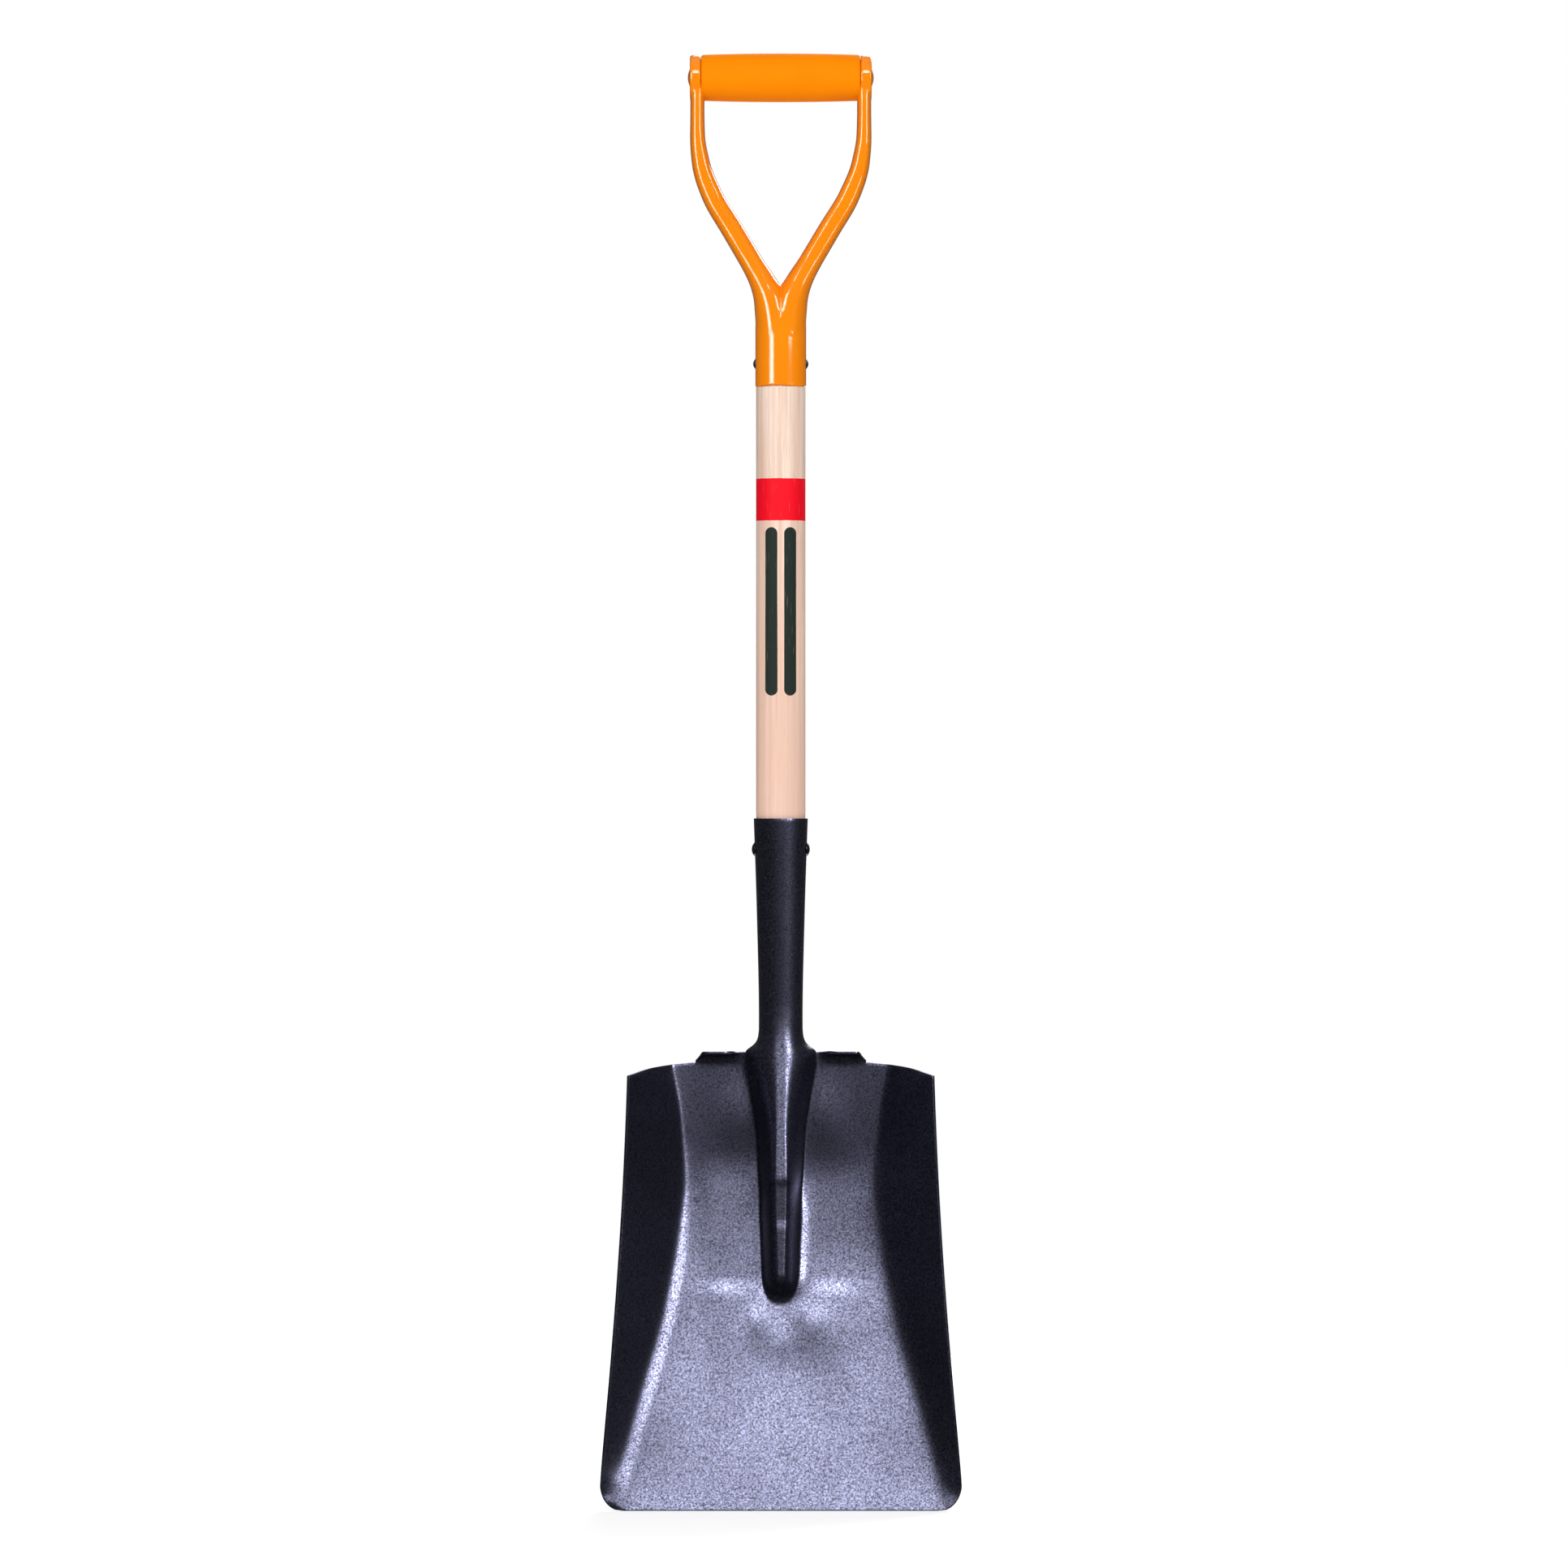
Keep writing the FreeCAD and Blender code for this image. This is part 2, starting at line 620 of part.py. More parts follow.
def cross_hole(doc, name, z):
    """Cylinder along X, through everything, for a rivet hole."""
    hole = doc.addObject("Part::Cylinder", name)
    hole.setExpression("Radius", "dims.hole_radius")
    hole.setExpression("Height", "6 * dims.socket_top_radius")
    hole.Placement = Placement(Vector(), Rotation(Vector(0, 1, 0), 90))
    hole.setExpression("Placement.Base.x", "-3 * dims.socket_top_radius")
    hole.setExpression("Placement.Base.z", z)
    return hole


def joined(doc, kind, label, shapes):
    item = doc.addObject(kind, label)
    item.Shapes = shapes
    return item


def difference(doc, label, base, tool):
    item = doc.addObject("Part::Cut", label)
    item.Label = label
    item.Base = base
    item.Tool = tool
    return item


def built(doc, name, shape):
    item = doc.addObject("Part::Feature", name)
    item.Shape = shape
    item.Placement = Placement()
    return item


def blade(doc, d):
    """Blade: pan and socket in one piece, with the socket's seam at the back and its rivet hole."""
    pan = built(doc, "blade_pan", pan_shape(d))
    body = joined(doc, "Part::MultiFuse", "blade_joined", [pan, socket_tube(doc)])
    seam = doc.addObject("Part::Box", "blade_seam")
    seam.setExpression("Length", "dims.seam_width")
    seam.setExpression("Width", "dims.socket_top_radius")
    seam.setExpression("Height", "dims.socket_top_z - dims.socket_bottom_z + 2 * dims.cut_margin")
    seam.setExpression("Placement.Base.x", "-dims.seam_width / 2")
    seam.setExpression("Placement.Base.y", "dims.neck_radius / 2")
    seam.setExpression("Placement.Base.z", "dims.socket_bottom_z - dims.cut_margin")
    tools = joined(doc, "Part::MultiFuse", "blade_cuts", [seam, cross_hole(doc, "blade_hole", "dims.lower_rivet_z")])
    return difference(doc, "blade", body, tools)


def shaft(doc):
    holes = [
        cross_hole(doc, "shaft_lower_hole", "dims.lower_rivet_z"),
        cross_hole(doc, "shaft_upper_hole", "dims.upper_rivet_z"),
    ]
    return difference(doc, "shaft", shaft_blank(doc), joined(doc, "Part::MultiFuse", "shaft_holes", holes))


def grip_yoke(doc, d):
    yoke = built(doc, "grip_yoke", yoke_shape(d))
    yoke.Label = "grip_yoke"
    return yoke


def check_document(doc, nodes):
    """Stops on a failed object, or on a sub-part that is not one valid solid."""
    for item in doc.Objects:
        if "Invalid" in item.State or "Error" in item.State:
            raise RuntimeError(f"{item.Label} failed: {item.State}")
    for node in nodes:
        shape = node.Shape
        if shape.isNull() or not shape.isValid() or len(shape.Solids) != 1:
            raise RuntimeError(f"{node.Label} is not one valid solid")


doc = FreeCAD.newDocument("shovel")
d = Sheet(dimension_sheet(doc))
nodes = [
    blade(doc, d),
    shaft(doc),
    grip_yoke(doc, d),
    grip_barrel(doc),
    rivet(doc, "grip_rivet", "dims.cup_outer_x", "dims.grip_head_radius", "dims.grip_head_height", "dims.cup_z"),
    rivet(
        doc,
        "upper_shaft_rivet",
        "dims.yoke_socket_radius",
        "dims.upper_head_radius",
        "dims.upper_head_height",
        "dims.upper_rivet_z",
    ),
    rivet(
        doc,
        "lower_shaft_rivet",
        "dims.lower_seat_x",
        "dims.lower_head_radius",
        "dims.lower_head_height",
        "dims.lower_rivet_z",
    ),
]
for node in nodes:
    node.setExpression("Placement.Base.y", "dims.shaft_y")
doc.recompute()
check_document(doc, nodes)
os.makedirs("parts", exist_ok=True)
for node in nodes:
    node.Shape.exportStep(f"parts/{node.Label}.step")
    print(f"{node.Label}: {node.Shape.Volume / 1000:.1f} cm3")
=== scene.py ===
import json
import math

import bmesh
import bpy
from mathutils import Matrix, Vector


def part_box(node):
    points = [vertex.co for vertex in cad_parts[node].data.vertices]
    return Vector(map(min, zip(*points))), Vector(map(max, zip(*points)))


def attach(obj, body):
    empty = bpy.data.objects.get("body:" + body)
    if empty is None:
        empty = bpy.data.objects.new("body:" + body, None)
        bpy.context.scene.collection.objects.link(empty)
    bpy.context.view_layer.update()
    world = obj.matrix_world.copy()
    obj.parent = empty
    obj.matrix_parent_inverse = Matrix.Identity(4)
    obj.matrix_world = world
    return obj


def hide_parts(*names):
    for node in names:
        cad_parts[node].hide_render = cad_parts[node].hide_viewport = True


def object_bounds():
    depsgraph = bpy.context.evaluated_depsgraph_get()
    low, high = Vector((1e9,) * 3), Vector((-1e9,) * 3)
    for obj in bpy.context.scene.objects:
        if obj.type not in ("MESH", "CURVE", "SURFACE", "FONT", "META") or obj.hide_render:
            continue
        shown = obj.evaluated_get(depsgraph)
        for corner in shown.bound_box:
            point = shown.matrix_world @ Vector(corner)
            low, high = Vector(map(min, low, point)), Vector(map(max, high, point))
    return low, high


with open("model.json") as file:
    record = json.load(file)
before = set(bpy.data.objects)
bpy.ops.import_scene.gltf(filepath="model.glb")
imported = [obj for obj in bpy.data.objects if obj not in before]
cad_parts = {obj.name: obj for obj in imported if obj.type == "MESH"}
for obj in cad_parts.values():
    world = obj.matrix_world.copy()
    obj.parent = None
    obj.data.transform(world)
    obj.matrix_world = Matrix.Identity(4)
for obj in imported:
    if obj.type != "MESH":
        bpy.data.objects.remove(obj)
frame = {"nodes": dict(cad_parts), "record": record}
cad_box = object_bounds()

MM = 0.001
BODY = "root"
# Everything below is drawn about the shaft's axis, which stands this far behind the cutting edge, in metres.
shaft_low, shaft_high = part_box("shaft")
AXIS_Y = (shaft_low[1] + shaft_high[1]) / 2


# ------------------------------------------------------------------ node helpers
def node(tree, kind, inputs=None, **settings):
    """A new node with its settings, each of its inputs linked to a socket or set to a value."""
    made = tree.nodes.new(kind)
    for name, value in settings.items():
        setattr(made, name, value)
    for name, value in (inputs or {}).items():
        if isinstance(value, bpy.types.NodeSocket):
            tree.links.new(value, made.inputs[name])
        else:
            made.inputs[name].default_value = value
    return made


def calculate(tree, operation, *values):
    """The result of a math node on sockets or numbers."""
    made = tree.nodes.new("ShaderNodeMath")
    made.operation = operation
    for socket, value in zip(made.inputs, values):
        if isinstance(value, bpy.types.NodeSocket):
            tree.links.new(value, socket)
        else:
            socket.default_value = value
    return made.outputs[0]


def ramp(tree, factor, *stops):
    """A colour ramp through stops of a position and a grey or a colour."""
    made = tree.nodes.new("ShaderNodeValToRGB")
    tree.links.new(factor, made.inputs["Fac"])
    points = made.color_ramp.elements
    while len(points) < len(stops):
        points.new(0.5)
    for point, (position, colour) in zip(points, stops):
        point.position = position
        shade = colour if isinstance(colour, tuple) else (colour,) * 3
        point.color = (*shade, 1)
    return made.outputs["Color"]


def blend(tree, factor, first, second, mode="MIX"):
    """A mix of two colours, each a socket or a constant."""
    made = tree.nodes.new("ShaderNodeMix")
    made.data_type = "RGBA"
    made.blend_type = mode
    for name, value in (("Factor", factor), ("A", first), ("B", second)):
        kind = "VALUE" if name == "Factor" else "RGBA"
        socket = [s for s in made.inputs if s.name == name and s.type == kind][0]
        if isinstance(value, bpy.types.NodeSocket):
            tree.links.new(value, socket)
        else:
            socket.default_value = value if name == "Factor" else (*value, 1)
    return [s for s in made.outputs if s.type == "RGBA"][0]


def place(tree, stretch=(1, 1, 1)):
    """The place on the object in metres, scaled along each axis. A small scale draws a pattern out."""
    coordinates = tree.nodes.new("ShaderNodeTexCoord")
    made = node(tree, "ShaderNodeMapping", {"Vector": coordinates.outputs["Object"], "Scale": stretch})
    return made.outputs["Vector"]


def noise(tree, vector, scale, detail=2.0, roughness=0.5, distortion=0.0):
    made = node(tree, "ShaderNodeTexNoise", {"Vector": vector, "Scale": scale, "Detail": detail,
                                             "Roughness": roughness, "Distortion": distortion})
    return made.outputs["Fac"]


def new_material(name, **constants):
    material = bpy.data.materials.new(name)
    material.use_nodes = True
    shader = material.node_tree.nodes["Principled BSDF"]
    for socket, value in constants.items():
        shader.inputs[socket.replace("_", " ")].default_value = value
    return material, material.node_tree, shader


def varied(tree, shader, socket, value, **limits):
    """Drives one of the shader's sockets by a value between 0 and 1, through the limits of a map range."""
    names = {name.replace("_", " ").title(): limit for name, limit in limits.items()}
    made = node(tree, "ShaderNodeMapRange", {"Value": value, **names})
    tree.links.new(made.outputs["Result"], shader.inputs[socket])


def bump(tree, shader, height, distance, strength=1.0):
    made = node(tree, "ShaderNodeBump", {"Height": height, "Distance": distance, "Strength": strength})
    tree.links.new(made.outputs["Normal"], shader.inputs["Normal"])


# ------------------------------------------------------------------ materials
def blade_enamel():
    """Dark hammered enamel: a blue-black coat full of fine bright flakes."""
    material, tree, shader = new_material("blade_enamel", Metallic=0.92)
    here = place(tree)
    grain = noise(tree, here, 1250.0, 1.0, 0.5)
    speckle = noise(tree, here, 760.0, 2.0, 0.65)
    mottle = noise(tree, here, 38.0, 3.0, 0.55)
    dark = ramp(tree, speckle, (0.34, (0.020, 0.0205, 0.033)), (0.66, (0.112, 0.114, 0.172)))
    shade = ramp(tree, mottle, (0.3, 0.86), (0.7, 1.0))
    tree.links.new(blend(tree, 1.0, dark, shade, "MULTIPLY"), shader.inputs["Base Color"])
    varied(tree, shader, "Roughness", speckle, from_min=0.3, from_max=0.7, to_min=0.38, to_max=0.25)
    bump(tree, shader, calculate(tree, "ADD", grain, speckle), 0.00009, 0.6)
    return material


# The print on the shaft, in metres up the shaft and across its front.
STRIPE_MIDDLE = 0.6055
STRIPE_HALF_LENGTH = 0.0530
STRIPE_OFFSET = 0.0064
STRIPE_RADIUS = 0.0041
BAND_MIDDLE = 0.6815
BAND_HALF_HEIGHT = 0.0143


def distance_from(tree, position, middle):
    return calculate(tree, "ABSOLUTE", calculate(tree, "SUBTRACT", position, middle))


def stripes(tree, x, y, z, worn):
    """1 inside two upright stripes with round ends on the shaft's front, and 0 elsewhere."""
    along = calculate(tree, "SUBTRACT", distance_from(tree, z, STRIPE_MIDDLE), STRIPE_HALF_LENGTH)
    along = calculate(tree, "MAXIMUM", along, 0.0)
    across = calculate(tree, "SUBTRACT", calculate(tree, "ABSOLUTE", x), STRIPE_OFFSET)
    squares = (calculate(tree, "MULTIPLY", length, length) for length in (along, across))
    reach = calculate(tree, "SQRT", calculate(tree, "ADD", *squares))
    inside = calculate(tree, "LESS_THAN", calculate(tree, "ADD", reach, worn), STRIPE_RADIUS)
    return calculate(tree, "MULTIPLY", inside, calculate(tree, "LESS_THAN", y, AXIS_Y))


def band(tree, z, worn):
    """1 inside one band round the shaft, and 0 elsewhere."""
    reach = calculate(tree, "ADD", distance_from(tree, z, BAND_MIDDLE), worn)
    return calculate(tree, "LESS_THAN", reach, BAND_HALF_HEIGHT)


def hardwood():
    """Pale straight-grained wood, ruddier towards its lower end, with its plain print."""
    material, tree, shader = new_material("hardwood", Specular_IOR_Level=0.2)
    fibres = noise(tree, place(tree, (1, 1, 0.018)), 380.0, 4.0, 0.66)
    growth = noise(tree, place(tree, (1, 1, 0.04)), 130.0, 3.0, 0.5, 0.6)
    pores = noise(tree, place(tree, (1, 1, 0.035)), 1500.0, 1.0, 0.5)
    broad = noise(tree, place(tree, (1, 1, 0.25)), 9.0, 2.0)
    streaks = noise(tree, place(tree, (1, 1, 0.012)), 210.0, 3.0, 0.7)
    pale = ramp(tree, fibres, (0.30, (0.70, 0.485, 0.375)), (0.5, (0.91, 0.71, 0.59)),
                (0.68, (0.98, 0.83, 0.72)))
    pale = blend(tree, ramp(tree, streaks, (0.36, 0.7), (0.48, 0.0)), pale, (0.68, 0.47, 0.36))
    warm = blend(tree, ramp(tree, growth, (0.42, 0.0), (0.60, 0.75)), pale, (0.80, 0.565, 0.44))
    deep = blend(tree, ramp(tree, pores, (0.30, 0.34), (0.38, 0.0)), warm, (0.60, 0.40, 0.30))
    position = tree.nodes.new("ShaderNodeSeparateXYZ")
    tree.links.new(place(tree), position.inputs["Vector"])
    x, y, z = (position.outputs[axis] for axis in "XYZ")
    lower = node(tree, "ShaderNodeMapRange", {"Value": z, "From Min": 0.74, "From Max": 0.50,
                                              "To Min": 0.0, "To Max": 0.55}).outputs["Result"]
    patchy = calculate(tree, "ADD", lower, calculate(tree, "MULTIPLY", broad, 0.2))
    wood = blend(tree, patchy, deep, (0.80, 0.50, 0.385))
    worn = calculate(tree, "MULTIPLY", calculate(tree, "SUBTRACT", fibres, 0.5), 0.0006)
    rubbed = ramp(tree, pores, (0.24, 0.82), (0.32, 1.0))
    green, red = (0.0168, 0.0262, 0.0212), (0.90, 0.0012, 0.0145)
    colour = blend(tree, calculate(tree, "MULTIPLY", stripes(tree, x, y, z, worn), rubbed), wood, green)
    colour = blend(tree, calculate(tree, "MULTIPLY", band(tree, z, worn), rubbed), colour, red)
    tree.links.new(colour, shader.inputs["Base Color"])
    varied(tree, shader, "Roughness", fibres, to_min=0.56, to_max=0.42)
    bump(tree, shader, calculate(tree, "ADD", fibres, pores), 0.00008, 0.5)
    return material


def orange(name, roughness, peel, coat):
    """An orange coat over steel or wood. Peel is the height of its uneven surface in metres."""
    material, tree, shader = new_material(name, Coat_Weight=coat, Coat_Roughness=0.05,
                                          Specular_IOR_Level=0.03)
    here = place(tree)
    drift = noise(tree, here, 26.0, 2.0)
    colour = ramp(tree, drift, (0.3, (0.93, 0.240, 0.0004)), (0.7, (0.98, 0.262, 0.0005)))
    tree.links.new(colour, shader.inputs["Base Color"])
    smears = noise(tree, here, 150.0)
    varied(tree, shader, "Roughness", smears, to_min=roughness - 0.06, to_max=roughness + 0.06)
    bump(tree, shader, noise(tree, here, 260.0, 2.0), peel, 0.5)
    return material


def rivet_steel():
    """Dark steel, oxidised in patches."""
    material, tree, shader = new_material("rivet_steel", Metallic=0.9)
    here = place(tree)
    patches = noise(tree, here, 420.0, 3.0)
    colour = ramp(tree, patches, (0.3, (0.06, 0.058, 0.06)), (0.7, (0.22, 0.21, 0.21)))
    tree.links.new(colour, shader.inputs["Base Color"])
    varied(tree, shader, "Roughness", patches, to_min=0.6, to_max=0.35)
    bump(tree, shader, noise(tree, here, 900.0, 2.0), 0.00008, 0.6)
    return material


materials = {
    "blade_enamel": blade_enamel(),
    "hardwood": hardwood(),
    "orange_enamel": orange("orange_enamel", 0.34, 0.00010, 0.9),
    "orange_lacquer": orange("orange_lacquer", 0.62, 0.00008, 0.0),
    "rivet_steel": rivet_steel(),
}
slots = {entry["node"]: entry["material_slot"] for entry in frame["record"]["subparts"]}
for name, item in frame["nodes"].items():
    item.data.materials.clear()
    item.data.materials.append(materials[slots[name]])


# ------------------------------------------------------------------ mesh helpers
def between(low, high, share):
    return low + (high - low) * share


def smooth_step(value):
    held = min(1.0, max(0.0, value))
    return held * held * (3 - 2 * held)


def fade_in(value, empty, full):
    """0 at empty, 1 at full and beyond it, and smooth between them."""
    return smooth_step((value - empty) / (full - empty))


def interpolate(points, position):
    """A smooth curve through the points that never overshoots them."""
    if position <= points[0][0]:
        return points[0][1]
    if position >= points[-1][0]:
        return points[-1][1]
    rises = [(b[1] - a[1]) / (b[0] - a[0]) for a, b in zip(points, points[1:])]
    inner = [2 * a * b / (a + b) if a * b > 0 else 0.0 for a, b in zip(rises, rises[1:])]
    tangents = [rises[0], *inner, rises[-1]]
    index = max(i for i in range(len(points) - 1) if points[i][0] <= position)
    (x0, y0), (x1, y1) = points[index], points[index + 1]
    span = x1 - x0
    t = (position - x0) / span
    return (
        (2 * t**3 - 3 * t**2 + 1) * y0
        + (t**3 - 2 * t**2 + t) * span * tangents[index]
        + (3 * t**2 - 2 * t**3) * y1
        + (t**3 - t**2) * span * tangents[index + 1]
    )


def smooth_max(a, b, softness):
    """The larger of two values, rounded where they meet."""
    return 0.5 * (a + b + math.sqrt((a - b) ** 2 + softness**2))


def grid(rows):
    """Faces between rows of vertex numbers; a face with a repeated vertex becomes a triangle."""
    faces = []
    for first, second in zip(rows, rows[1:]):
        for a, b, c, d in zip(first, first[1:], second[1:], second):
            face = []
            for corner in (a, b, c, d):
                if corner not in face:
                    face.append(corner)
            if len(face) > 2:
                faces.append(face)
    return faces


class Sheet:
    """Points in millimetres about the shaft's axis, each kept once, and the faces between them."""

    def __init__(self):
        self.points = []
        self.faces = []
        self.known = {}

    def add(self, x, y, z):
        key = (round(x, 2), round(y, 2), round(z, 2))
        if key not in self.known:
            self.known[key] = len(self.points)
            self.points.append((x, y, z))
        return self.known[key]

    def patch(self, rows, flip=False):
        numbers = [[self.add(*point) for point in row] for row in rows]
        faces = grid(numbers)
        self.faces += [face[::-1] for face in faces] if flip else faces

    def mesh(self, name):
        data = bpy.data.meshes.new(name)
        data.from_pydata([(x * MM, y * MM + AXIS_Y, z * MM) for x, y, z in self.points], [], self.faces)
        data.validate()
        for face in data.polygons:
            face.use_smooth = True
        return data


def new_piece(name, data, material, node_name):
    """An object that stands in for a node of the design."""
    item = bpy.data.objects.new(name, data)
    bpy.context.scene.collection.objects.link(item)
    data.materials.append(materials[material])
    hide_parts(node_name)
    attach(item, BODY)
    return item


def modifier(item, kind, name, **settings):
    made = item.modifiers.new(name, kind)
    for key, value in settings.items():
        setattr(made, key, value)
    return made


# ------------------------------------------------------------------ blade
# Tables run by height above the mouth, in millimetres.
# Half-width of the pan's floor, and height of the side wall.
CREASE = [(-20, 120.5), (7, 113.6), (80, 95.2), (133, 80), (191, 69), (222, 65.5), (260, 68.0), (310, 77.0)]
WALL_HEIGHT = [(-20, 0), (7, 2), (24, 8), (80, 23), (133, 34), (191, 42), (240, 45), (310, 43)]
# The narrow facet inside each side wall, and how round the crease between them is.
FACET_WIDTH = [(0, 8.5), (60, 7.8), (100, 8.5), (182, 6.5), (230, 9.0), (300, 12.0)]
FACET_SOFTNESS = [(0, 3.0), (150, 5.0), (230, 16.0), (300, 20.0)]
FACET_SLOPE = [(-6, 0.08), (8, 0.22), (22, 0.30), (175, 0.30), (208, 0.21), (225, 0.15), (245, 0.10),
               (300, 0.08)]
WALL_SOFTNESS = [(222, 2.2), (245, 1.1)]
# The frog: half-widths of its foot and of its flat crest, and fullness of its section (2 is a parabola).
FROG_FOOT = [(120, 1.5), (136, 2.5), (138, 5.4), (141, 8.2), (145, 10.0), (150, 11.2), (158, 12.0),
             (180, 12.8), (197, 13.6), (210, 13.7), (222, 14.6), (252, 16.4), (270, 19.0), (285, 21.6),
             (300, 24.5)]
FROG_CREST = [(137, 1.0), (160, 1.5), (225, 3.0), (255, 2.2), (285, 1.8), (300, 0.0)]
FROG_FULLNESS = [(137, 1.9), (255, 1.85), (285, 1.9), (300, 2.2)]
# Half-width of the mesh's middle strip, which runs from the mouth over the frog and up the socket.
CORE_EDGE = [(0, 13.0), (137, 13.0), (150, 13.9), (197, 17.3), (222, 17.6), (252, 20), (300, 24.5)]
# Outer radius of the socket, and the share of the pan's shape left at the socket's sides.
SOCKET_RADIUS = [(297, 15.3), (330, 14.9), (400, 16.3), (465, 18.4)]
SHOULDER = [(297.6, 1.0), (305.8, 0.985), (307.2, 0.92), (308.3, 0.80), (309.6, 0.60), (311.2, 0.38),
            (313.6, 0.17), (317, 0.05), (321, 0.0)]
SOCKET_TOP = 465.0
SHOULDER_TOP = 321.0
# Below its shoulder the rolled back of the socket ends in a point that is this long and turned this far.
WRAP_POINT = 21
WRAP_TURN = 0.7
SEAM_HALF_WIDTH = 0.5
# Height of the pan's top edge outside the foot steps, by distance from the middle.
HEEL_EDGE = [(59.0, 299.1), (60, 299.0), (85, 296.4), (102.3, 291.5)]
# Half-width of the blade at three heights, which a parabola joins.
SIDE = ((291.5, 102.3), (160.0, 108.8), (16.0, 121.2))
CORNER_RADIUS = 16.0
SHEET_THICKNESS = 1.9
WORN_EDGE = 0.45
# Foot steps: heights of their root and of their free edge at the neck, half-widths of their free edge and of
# their root, radius of the bend, length of the flat beyond it, and the run over which they leave the neck.
LIP_START = 297.6
LIP_FREE = 306.1
STEP_END = 53.0
STEP_FOOT = 59.0
LIP_RADIUS = 7.1
LIP_FLAT = 1.2
LIP_ROOT = 15
# Side view of the pan's floor: its depth at the heel, then the slope of each part of it. The dish adds this
# much curve across the floor, per square millimetre from the middle.
HEEL_TOP = 306.6
HEEL_Y = 2.7
BEND_TOP = 242.0
BEND_FOOT = 218.0
UPPER_SLOPE = 0.06
BENT_SLOPE = 0.20
MOUTH_SLOPE = 0.365
HOLLOW = 150.0
DISH = 0.00035
# Side view of the frog's crest, from the socket's front down: slopes and lengths of its parts.
NECK_FRONT = 15.25
LEAN_TOP = 341.0
LEAN_LENGTH = 40.0
CREST_SLOPE = 0.19
CREST_LENGTH = 80.0
KNEE_SLOPE = 0.09
KNEE_LENGTH = 28.0
TIP_SLOPE = 0.12
PRESSED_STEP = 0.7
FROG_TIP = 137
FROG_TIP_LENGTH = 18


def floor_y(z):
    """Depth of the pan's floor: a steep upper part, a short bend and a hollow that runs to the mouth."""
    bend = BEND_TOP - BEND_FOOT
    bent = min(bend, max(0.0, BEND_TOP - z))
    below = max(0.0, BEND_FOOT - z)
    extra = (BENT_SLOPE - UPPER_SLOPE) * (bent**2 / (2 * bend) + below)
    hollow = min(HOLLOW, below)
    extra += (MOUTH_SLOPE - BENT_SLOPE) * (hollow**2 / (2 * HOLLOW) + below - hollow)
    return HEEL_Y - UPPER_SLOPE * (HEEL_TOP - z) - extra


def crest_y(z):
    """Depth of the frog's crest: it leans forward from the socket's neck, and has one pressed step."""
    lean = min(LEAN_LENGTH, max(0.0, LEAN_TOP - z))
    below = max(0.0, LEAN_TOP - LEAN_LENGTH - z)
    past_crest = max(0.0, below - CREST_LENGTH)
    past_knee = max(0.0, past_crest - KNEE_LENGTH)
    y = -NECK_FRONT - 0.5 * CREST_SLOPE * lean**2 / LEAN_LENGTH - CREST_SLOPE * min(below, CREST_LENGTH)
    y -= KNEE_SLOPE * min(KNEE_LENGTH, past_crest) + TIP_SLOPE * past_knee
    return y + PRESSED_STEP * fade_in(z, 220, 217) * fade_in(z, 188, 194)


def side_half_width(z):
    """Half-width of the blade without its round corners: the parabola through the three widths."""
    total = 0.0
    for own_z, width in SIDE:
        share = width
        for other_z, _ in SIDE:
            if other_z != own_z:
                share *= (z - other_z) / (own_z - other_z)
        total += share
    return total


def edge_half_width(z):
    """Half-width of the blade, with its round corners at the mouth."""
    if z >= CORNER_RADIUS:
        return side_half_width(z)
    inset = CORNER_RADIUS - math.sqrt(max(0.0, CORNER_RADIUS**2 - (CORNER_RADIUS - z) ** 2))
    return side_half_width(CORNER_RADIUS) - inset


def mound(x, z, height, middle_x, spread_x, middle_z, spread_z):
    """A low round swelling of the sheet."""
    return height * math.exp(-(((z - middle_z) / spread_z) ** 2) - ((x - middle_x) / spread_x) ** 2)


def press_marks(x, z):
    """Marks round the frog's tip, some fading towards the mouth, and a swelling beside the neck."""
    below_tip = mound(x, z, 0.75, 6, 27, 112, 12)
    left_of_tip = mound(x, z, 1.2, -14, 8, 124, 11)
    right_of_tip = mound(x, z, 1.3, 20, 12, 125, 12)
    beside_neck = mound(abs(x), z, 1.4, 29, 14, 262, 22)
    fading = 1.3 * fade_in(z, 154, 141) * fade_in(z, 50, 135) * math.exp(-(((abs(x) - 35) / 16) ** 2))
    return below_tip + left_of_tip + right_of_tip + fading + beside_neck


def soft(distance, softness):
    """The distance where it is positive and 0 elsewhere, with a rounded corner."""
    return (distance + math.hypot(distance, softness)) / 2


def wall_rise(x, z):
    """How far the side wall stands before the floor: a narrow facet, then the wall proper."""
    crease = interpolate(CREASE, z)
    width = interpolate(FACET_WIDTH, z) - 3.0 * max(-1, min(1, x / 30))
    slope = interpolate(FACET_SLOPE, z)
    inside = abs(x) - crease
    wall = soft(inside, interpolate(WALL_SOFTNESS, z))
    facet = soft(inside + width, interpolate(FACET_SOFTNESS, z)) - wall
    steepness = max(0, interpolate(WALL_HEIGHT, z) - slope * width) / (side_half_width(z) - crease)
    return slope * facet + steepness * wall


